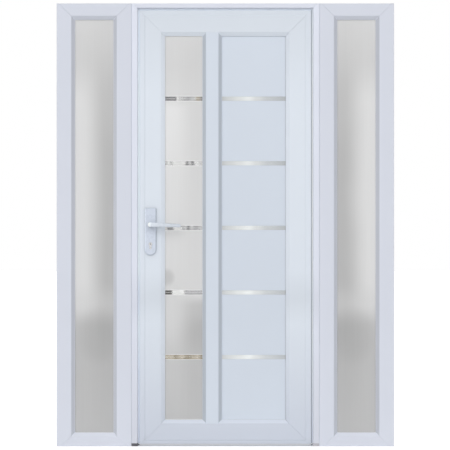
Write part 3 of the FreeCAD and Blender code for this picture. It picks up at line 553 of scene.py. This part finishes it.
# A painted reflection of the far ground lies on the leaf and the frame as a soft darker band,
# and painted shade makes the leaf darker again towards its head. Painted light makes the panel
# and the mullion paler near the floor, and painted shade the sidelights darker near their head.
# A step is a height and the share of light kept there.
LEAF_HEIGHTS = ((0.58, 1.0), (0.69, 0.92), (0.72, 0.92), (0.83, 1.0), (1.68, 1.0), (2.06, 0.91))
FRAME_HEIGHTS = ((0.54, 1.0), (0.66, 0.925), (0.72, 0.925), (0.83, 1.0))
FIELD_HEIGHTS = ((0.10, 1.035), (0.60, 1.0))
LIGHT_HEIGHTS = ((0.90, 1.0), (1.90, 0.97))
# Painted shade: the frame's head keeps this share of light all over
HEAD_SHARE = 0.94
# Painted light and shade on a cheek: how much light it keeps where it faces sideways, down and up
LEAF_CHEEKS = (1.02, 1.05, 1.12)
MULLION_CHEEKS = (0.70, 0.70, 0.70)
LIGHT_CHEEKS = (0.77, 0.91, 1.04)
# Painted shade draws a dark line in the gap beside the hinges, next to the leaf, with painted
# light beside it. It ends this far from the jamb and is blurred a little, and the shares are
# those of the light kept in it and beside it.
GAP_LINE_END = 0.0062
GAP_LINE_BLUR = 0.001
GAP_LINE_SHARES = (0.50, 1.32)

gap_line_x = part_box("right_jamb")[0].x - GAP_LINE_END
gap_steps = ((gap_line_x - GAP_LINE_BLUR, GAP_LINE_SHARES[0]),
             (gap_line_x + GAP_LINE_BLUR, GAP_LINE_SHARES[1]))
frame_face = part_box("left_jamb")[0].y
leaf_look = {"colour": LEAF_WHITE, "face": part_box("leaf_lock_stile")[0].y, "foot": LEAF_FOOT,
             "cheeks": LEAF_CHEEKS, "heights": LEAF_HEIGHTS}
leaf_plastic = plastic("leaf_plastic", **leaf_look)
# Painted shade line in the hinge gap, with painted light beside it
hinge_stile_plastic = plastic("hinge_stile_plastic", **leaf_look, recess=gap_steps)
# Painted shade beside the handle plate
lock_stile_plastic = plastic("lock_stile_plastic", **leaf_look,
                             shade_from=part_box("handle_plate_outside")[0].x)
mullion_plastic = plastic("mullion_plastic", MULLION_WHITE, leaf_look["face"],
                          cheeks=MULLION_CHEEKS, heights=FIELD_HEIGHTS)
panel_skin = plastic("panel_skin", PANEL_WHITE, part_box("leaf_panel")[0].y, heights=FIELD_HEIGHTS)
light_plastic = plastic("sidelight_plastic", LIGHT_WHITE, frame_face, foot=LIGHT_FOOT,
                        cheeks=LIGHT_CHEEKS, heights=LIGHT_HEIGHTS)
frame_plastic = plastic("frame_plastic", FRAME_WHITE, frame_face, foot=FRAME_FOOT,
                        heights=FRAME_HEIGHTS)
frame_head_shaded_plastic = plastic("frame_head_shaded_plastic", darker(FRAME_WHITE, HEAD_SHARE), frame_face)


# The furniture, the metals and the rubber

# A painted highlight makes the lever's knob at its turning end paler, and painted shade makes
# its grip darker towards the tip
KNOB_WIDTH = 0.016
KNOB_SHARE = 0.8
KNOB_LIGHT = 1.25
GRIP_END = 0.05
GRIP_SHADE = 0.86
# How far the painted shade of the keyway stays behind the faces of the cylinder
KEYWAY_LIP = 0.0005
# The moulded blocks under the jambs are glossier than rubber
BLOCK_ROUGHNESS = 0.5

lever_low, lever_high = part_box("lever_outside")
lever_steps = ((lever_low.x + KNOB_SHARE * KNOB_WIDTH, KNOB_LIGHT), (lever_low.x + KNOB_WIDTH, 1.0),
               (lever_high.x - GRIP_END, GRIP_SHADE))
hinge_enamel = enamel("hinge_enamel", HINGE_WHITE)
plate_enamel = enamel("plate_enamel", PLATE_SHADED_WHITE)
lever_enamel = enamel("lever_enamel", LEVER_LIT_WHITE, lever_steps)
cylinder_low, cylinder_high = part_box("lock_cylinder")
nickel = keyed_metal("nickel", NICKEL, KEYWAY_SHADE, cylinder_low.y + KEYWAY_LIP,
                     cylinder_high.y - KEYWAY_LIP)
zinc = metal("zinc", ZINC, lines=(8.0, 400.0, 400.0))
threshold_metal = metal("threshold_metal", THRESHOLD_GREY, lines=(20.0, 300.0, 300.0),
                        roughness=(0.40, 0.55))
spacer_metal = metal("spacer_metal", SPACER_GREY, lines=(300.0, 300.0, 300.0), roughness=(0.45, 0.6))
seal_rubber = rubber("seal_rubber", SEAL_GREY)
gasket_rubber = rubber("gasket_rubber", GASKET_GREY)
# Painted shade makes the left block dark
shaded_dark_block = rubber("shaded_dark_block", BLOCK_DARK, BLOCK_ROUGHNESS)
grey_block = rubber("grey_block", BLOCK_GREY, BLOCK_ROUGHNESS)


# The glass, whose clear stripes lie level with the steel strips

STRIP_COUNT = 5
STRIP_HEIGHT = 0.020
# The painted round shadow on each sidelight, and the painted shadow of the lock on the door's
# glass: the place along X and Z, half the width, half the height and the depth
LIGHT_SHADOW = (0.604, 0.52, 0.12, 0.16, 0.10)
LOCK_SHADOW = (-0.275, 0.80, 0.045, 0.05, 0.20)

strips_low, strips_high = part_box("steel_strips")
strip_pitch = (strips_high.z - strips_low.z - STRIP_HEIGHT) / (STRIP_COUNT - 1)
strip_steel = brushed_strip("strip_steel", strips_low.x, strips_high.x)
float_glass = clear_glass("float_glass")
left_glass = frosted_glass("left_frosted_glass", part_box("left_light_outer_stile")[1].x,
                           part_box("left_light_inner_stile")[0].x, LIGHT_LIT, LIGHT_SHADED,
                           (-LIGHT_SHADOW[0], *LIGHT_SHADOW[1:]))
right_glass = frosted_glass("right_frosted_glass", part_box("right_light_outer_stile")[0].x,
                            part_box("right_light_inner_stile")[1].x, LIGHT_LIT, LIGHT_SHADED,
                            LIGHT_SHADOW)
door_glass = striped_glass("door_frosted_glass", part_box("leaf_lock_stile")[1].x,
                           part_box("leaf_mullion")[0].x, strips_low.z, strip_pitch, STRIP_HEIGHT,
                           LOCK_SHADOW)


# The pieces keep their meshes and get a finish and softly rounded edges

# A piece's own finish comes before that of its material slot
NODE_FINISHES = {
    "left_light_frosted_pane": left_glass,
    "right_light_frosted_pane": right_glass,
    "leaf_frosted_pane": door_glass,
    "leaf_mullion": mullion_plastic,
    "leaf_hinge_stile": hinge_stile_plastic,
    "leaf_lock_stile": lock_stile_plastic,
    "left_jamb": frame_plastic,
    "right_jamb": frame_plastic,
    "frame_head": frame_head_shaded_plastic,
    "handle_plate_outside": plate_enamel,
    "handle_plate_inside": plate_enamel,
    "lever_outside": lever_enamel,
    "lever_inside": lever_enamel,
    "steel_strips": strip_steel,
    "frame_seal": seal_rubber,
    "threshold": threshold_metal,
}
SLOT_FINISHES = {
    "white_plastic": leaf_plastic,
    "panel_skin": panel_skin,
    "white_enamel": hinge_enamel,
    "clear_glass": float_glass,
    "mill_aluminium": spacer_metal,
    "grey_rubber": gasket_rubber,
    "brushed_steel": zinc,
    "nickel": nickel,
    "black_plastic": shaded_dark_block,
    "grey_plastic": grey_block,
}
# How wide the rounded edges are, by material slot
EDGE_RADII = {
    "white_plastic": 0.0014,
    "panel_skin": 0.0003,
    "white_enamel": 0.0005,
    "brushed_steel": 0.0003,
    "nickel": 0.0003,
    "grey_rubber": 0.0004,
    "black_plastic": 0.0006,
    "grey_plastic": 0.0006,
}
# Edges that turn by more than this are rounded
EDGE_ANGLE = math.radians(28)
EDGE_SEGMENTS = 2
# First, points this close become one point, and faces that turn by less than this become one
WELD_REACH = 0.000005
FLAT_ANGLE = math.radians(0.5)


def finish_of(name, slot):
    if name in NODE_FINISHES:
        return NODE_FINISHES[name]
    if "_light_" in name and slot == "white_plastic":
        return light_plastic
    return SLOT_FINISHES[slot]


def soften(piece, radius):
    """Round the sharp edges of a piece by modifiers alone, over its unchanged mesh."""
    mesh = piece.data
    mesh.attributes.remove(mesh.attributes["custom_normal"])
    mesh.shade_smooth()
    weld = piece.modifiers.new("weld", "WELD")
    weld.merge_threshold = WELD_REACH
    flats = piece.modifiers.new("flats", "DECIMATE")
    flats.decimate_type = "DISSOLVE"
    flats.angle_limit = FLAT_ANGLE
    rounding = piece.modifiers.new("rounding", "BEVEL")
    rounding.width = radius
    rounding.segments = EDGE_SEGMENTS
    rounding.limit_method = "ANGLE"
    rounding.angle_limit = EDGE_ANGLE
    rounding.harden_normals = True


for entry in frame["record"]["subparts"]:
    name, slot = entry["node"], entry["material_slot"]
    piece = nodes[name]
    piece.data.materials.clear()
    piece.data.materials.append(finish_of(name, slot))
    if slot in EDGE_RADII:
        soften(piece, EDGE_RADII[slot])
    if slot == "clear_glass":
        piece.visible_shadow = False


# Small screws

SOCKET_LOBES = 6
SCREW_STEPS = 48
SCREW_CREASE = math.radians(40)
# The rings of a screw head from its rim to the floor of its socket: a share of the head's radius,
# a share of its rise, and how far the ring waves in and out
SCREW_RINGS = ((1.0, 0.0, 0.0), (0.96, 0.55, 0.0), (0.80, 0.9, 0.0), (0.55, 1.0, 0.0),
               (0.42, 1.0, 0.14), (0.40, 0.2, 0.14))
# The radius and the rise of each kind of head
WING_SCREW = (0.0042, 0.0012)
PLATE_SCREW = (0.0038, 0.0010)
LOCK_SCREW = (0.0036, 0.0004)


def screw_head(builder, centre, outward, radius, rise):
    """A flat-domed screw head with a six-lobed socket, facing outward from its seat."""
    turn = outward.to_track_quat("Z", "Y").to_matrix()
    rows = []
    for radius_share, rise_share, wave in SCREW_RINGS:
        row = []
        for step in range(SCREW_STEPS):
            angle = math.tau * step / SCREW_STEPS
            reach = radius * radius_share * (1 + wave * math.cos(SOCKET_LOBES * angle))
            local = Vector((reach * math.cos(angle), reach * math.sin(angle), rise * rise_share))
            row.append(builder.verts.new(centre + turn @ local))
        rows.append(row)
    for low, high in zip(rows, rows[1:]):
        for step in range(SCREW_STEPS):
            after = (step + 1) % SCREW_STEPS
            builder.faces.new((low[step], low[after], high[after], high[step]))
    builder.faces.new(rows[-1])
    builder.faces.new(list(reversed(rows[0])))


def screws(name, body, finish, places, outward, size):
    """One piece that holds a group of like screws, whose size is a radius and a rise."""
    builder = bmesh.new()
    for centre in places:
        screw_head(builder, Vector(centre), Vector(outward), *size)
    mesh = bpy.data.meshes.new(name)
    builder.to_mesh(mesh)
    builder.free()
    mesh.materials.append(finish)
    mesh.shade_smooth()
    mesh.set_sharp_from_angle(angle=SCREW_CREASE)
    piece = bpy.data.objects.new(name, mesh)
    bpy.context.scene.collection.objects.link(piece)
    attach(piece, body)


INTO_HOUSE = (0, 1, 0)
TO_LEFT = (-1, 0, 0)
TO_RIGHT = (1, 0, 0)

HINGE_COUNT = 3
HINGE_HEIGHT = 0.090
WING_THICKNESS = 0.004
WING_SCREW_INSET = 0.016
WING_SCREW_SHARES = (0.17, 0.5, 0.83)
wings_low, wings_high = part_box("hinge_frame_wings")
hinge_pitch = (wings_high.z - wings_low.z - HINGE_HEIGHT) / (HINGE_COUNT - 1)
wing_heights = [wings_low.z + hinge * hinge_pitch + share * HINGE_HEIGHT
                for hinge in range(HINGE_COUNT) for share in WING_SCREW_SHARES]
frame_screw_x = wings_high.x - WING_SCREW_INSET
frame_screw_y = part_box("right_jamb")[1].y + WING_THICKNESS
screws("hinge_frame_screws", "frame", hinge_enamel,
       [(frame_screw_x, frame_screw_y, height) for height in wing_heights], INTO_HOUSE, WING_SCREW)
leaf_screw_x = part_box("hinge_leaf_wings")[0].x + WING_SCREW_INSET
leaf_screw_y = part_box("leaf_hinge_stile")[1].y + WING_THICKNESS
screws("hinge_leaf_screws", "leaf", hinge_enamel,
       [(leaf_screw_x, leaf_screw_y, height) for height in wing_heights], INTO_HOUSE, WING_SCREW)

PLATE_SCREW_INSET = 0.014
plate_low, plate_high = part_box("handle_plate_inside")
plate_middle = (plate_low.x + plate_high.x) / 2
plate_heights = (plate_high.z - PLATE_SCREW_INSET, plate_low.z + PLATE_SCREW_INSET)
screws("inside_plate_screws", "leaf", zinc,
       [(plate_middle, plate_high.y, height) for height in plate_heights], INTO_HOUSE, PLATE_SCREW)

FACEPLATE_SCREWS = 6
FACEPLATE_END = 0.030
faceplate_low, faceplate_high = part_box("lock_faceplate")
faceplate_middle = (faceplate_low.y + faceplate_high.y) / 2
faceplate_pitch = (faceplate_high.z - faceplate_low.z - 2 * FACEPLATE_END) / (FACEPLATE_SCREWS - 1)
faceplate_heights = [faceplate_low.z + FACEPLATE_END + faceplate_pitch * step
                     for step in range(FACEPLATE_SCREWS)]
screws("faceplate_screws", "leaf", zinc,
       [(faceplate_low.x, faceplate_middle, height) for height in faceplate_heights],
       TO_LEFT, LOCK_SCREW)

KEEP_SCREW_END = 0.014
keep_low, keep_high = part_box("lock_keep")
keep_heights = (keep_low.z + KEEP_SCREW_END, keep_high.z - KEEP_SCREW_END)
screws("keep_screws", "frame", zinc,
       [(keep_high.x, faceplate_middle, height) for height in keep_heights], TO_RIGHT, LOCK_SCREW)


# Floor

FLOOR_HALF = 30.0
FLOOR_TONE = 0.80
FLOOR_SWING = 0.01
FLOOR_GLOW = 0.60


def seen_directly(tree):
    """1 for rays from the camera, a mirror or glass, and 0 for the light that a surface gathers."""
    path = node(tree, "LightPath").outputs
    seen = calc(tree, "MAXIMUM", path["Is Camera Ray"], path["Is Glossy Ray"])
    return calc(tree, "MAXIMUM", seen, path["Is Transmission Ray"])


def floor_material():
    """Pale matt floor that looks white to the camera and keeps the object's shadow."""
    made, tree, shader = new_material("pale_floor")
    clouds = noise(tree, scale=0.8, detail=2.0)
    shade = uneven(tree, clouds, FLOOR_TONE - FLOOR_SWING, FLOOR_TONE + FLOOR_SWING)
    tone = node(tree, "CombineColor", {"Red": shade, "Green": shade, "Blue": shade}).outputs["Color"]
    paint(tree, shader, tone)
    shader.inputs["Roughness"].default_value = 0.9
    shader.inputs["Specular IOR Level"].default_value = 0.0
    shader.inputs["Emission Color"].default_value = WHITE
    glow = calc(tree, "MULTIPLY", seen_directly(tree), FLOOR_GLOW)
    tree.links.new(glow, shader.inputs["Emission Strength"])
    return made


scene = bpy.context.scene
builder = bmesh.new()
corners = ((-FLOOR_HALF, -FLOOR_HALF), (FLOOR_HALF, -FLOOR_HALF), (FLOOR_HALF, FLOOR_HALF),
           (-FLOOR_HALF, FLOOR_HALF))
builder.faces.new([builder.verts.new((x, y, 0.0)) for x, y in corners])
floor_mesh = bpy.data.meshes.new("floor")
builder.to_mesh(floor_mesh)
builder.free()
floor_mesh.materials.append(floor_material())
floor = bpy.data.objects.new("floor", floor_mesh)
scene.collection.objects.link(floor)


# World and lamps

AMBIENT = 0.42
world = bpy.data.worlds.new("studio")
world.use_nodes = True
scene.world = world
sky_tree = world.node_tree
sky = sky_tree.nodes["Background"]
sky.inputs["Color"].default_value = WHITE
sky_strength = spread(sky_tree, seen_directly(sky_tree), 0.0, 1.0, AMBIENT, 1.0)
sky_tree.links.new(sky_strength, sky.inputs["Strength"])

SUN_SOFTNESS = math.radians(65)
KEY_STRENGTH = 1.97
KEY_ELEVATION = 14
KEY_AZIMUTH = -2
BACK_STRENGTH = 1.5
BACK_ELEVATION = 16
BACK_AZIMUTH = 188


def soft_sun(name, strength, elevation, azimuth):
    """A broad even light, whose own disc shows neither in gloss nor through glass.

    Both angles are in degrees.
    """
    light = bpy.data.lights.new(name, "SUN")
    light.energy = strength
    light.angle = SUN_SOFTNESS
    lamp = bpy.data.objects.new(name, light)
    lamp.rotation_euler = (math.pi / 2 - math.radians(elevation), 0.0, math.radians(azimuth))
    lamp.visible_glossy = False
    lamp.visible_transmission = False
    scene.collection.objects.link(lamp)


# A tall lamp at the left, which only makes the glints on the left-facing slopes
GLINT_PLACE = Vector((-4.6, -0.30, 1.1))
GLINT_AIM = Vector((-0.36, 0.0, 1.05))
GLINT_WIDTH = 0.5
GLINT_HEIGHT = 1.6
GLINT_POWER = 75.0


def glint_lamp():
    light = bpy.data.lights.new("glint", "AREA")
    light.shape = "RECTANGLE"
    light.size = GLINT_WIDTH
    light.size_y = GLINT_HEIGHT
    light.energy = GLINT_POWER
    lamp = bpy.data.objects.new("glint", light)
    lamp.location = GLINT_PLACE
    lamp.rotation_euler = (GLINT_AIM - GLINT_PLACE).to_track_quat("-Z", "Y").to_euler()
    lamp.visible_diffuse = False
    scene.collection.objects.link(lamp)


soft_sun("key", KEY_STRENGTH, KEY_ELEVATION, KEY_AZIMUTH)
glint_lamp()
soft_sun("back", BACK_STRENGTH, BACK_ELEVATION, BACK_AZIMUTH)


# Camera, straight in front, with the object as large in its picture as in the photograph

LENS = 135.0
SENSOR = 36.0
PICTURE = 450
OBJECT_PIXELS = 443
PICTURE_CENTRE = Vector((-0.0017, 0.0, 1.0494))
metres_per_pixel = (cad_box[1].z - cad_box[0].z) / OBJECT_PIXELS
camera_distance = PICTURE * metres_per_pixel * LENS / SENSOR
camera_data = bpy.data.cameras.new("camera")
camera_data.lens = LENS
camera_data.sensor_width = SENSOR
camera = bpy.data.objects.new("camera", camera_data)
camera.location = PICTURE_CENTRE + Vector((0.0, frame_face - camera_distance, 0.0))
camera.rotation_euler = (math.pi / 2, 0.0, 0.0)
scene.collection.objects.link(camera)
scene.camera = camera
scene.view_settings.view_transform = "Standard"
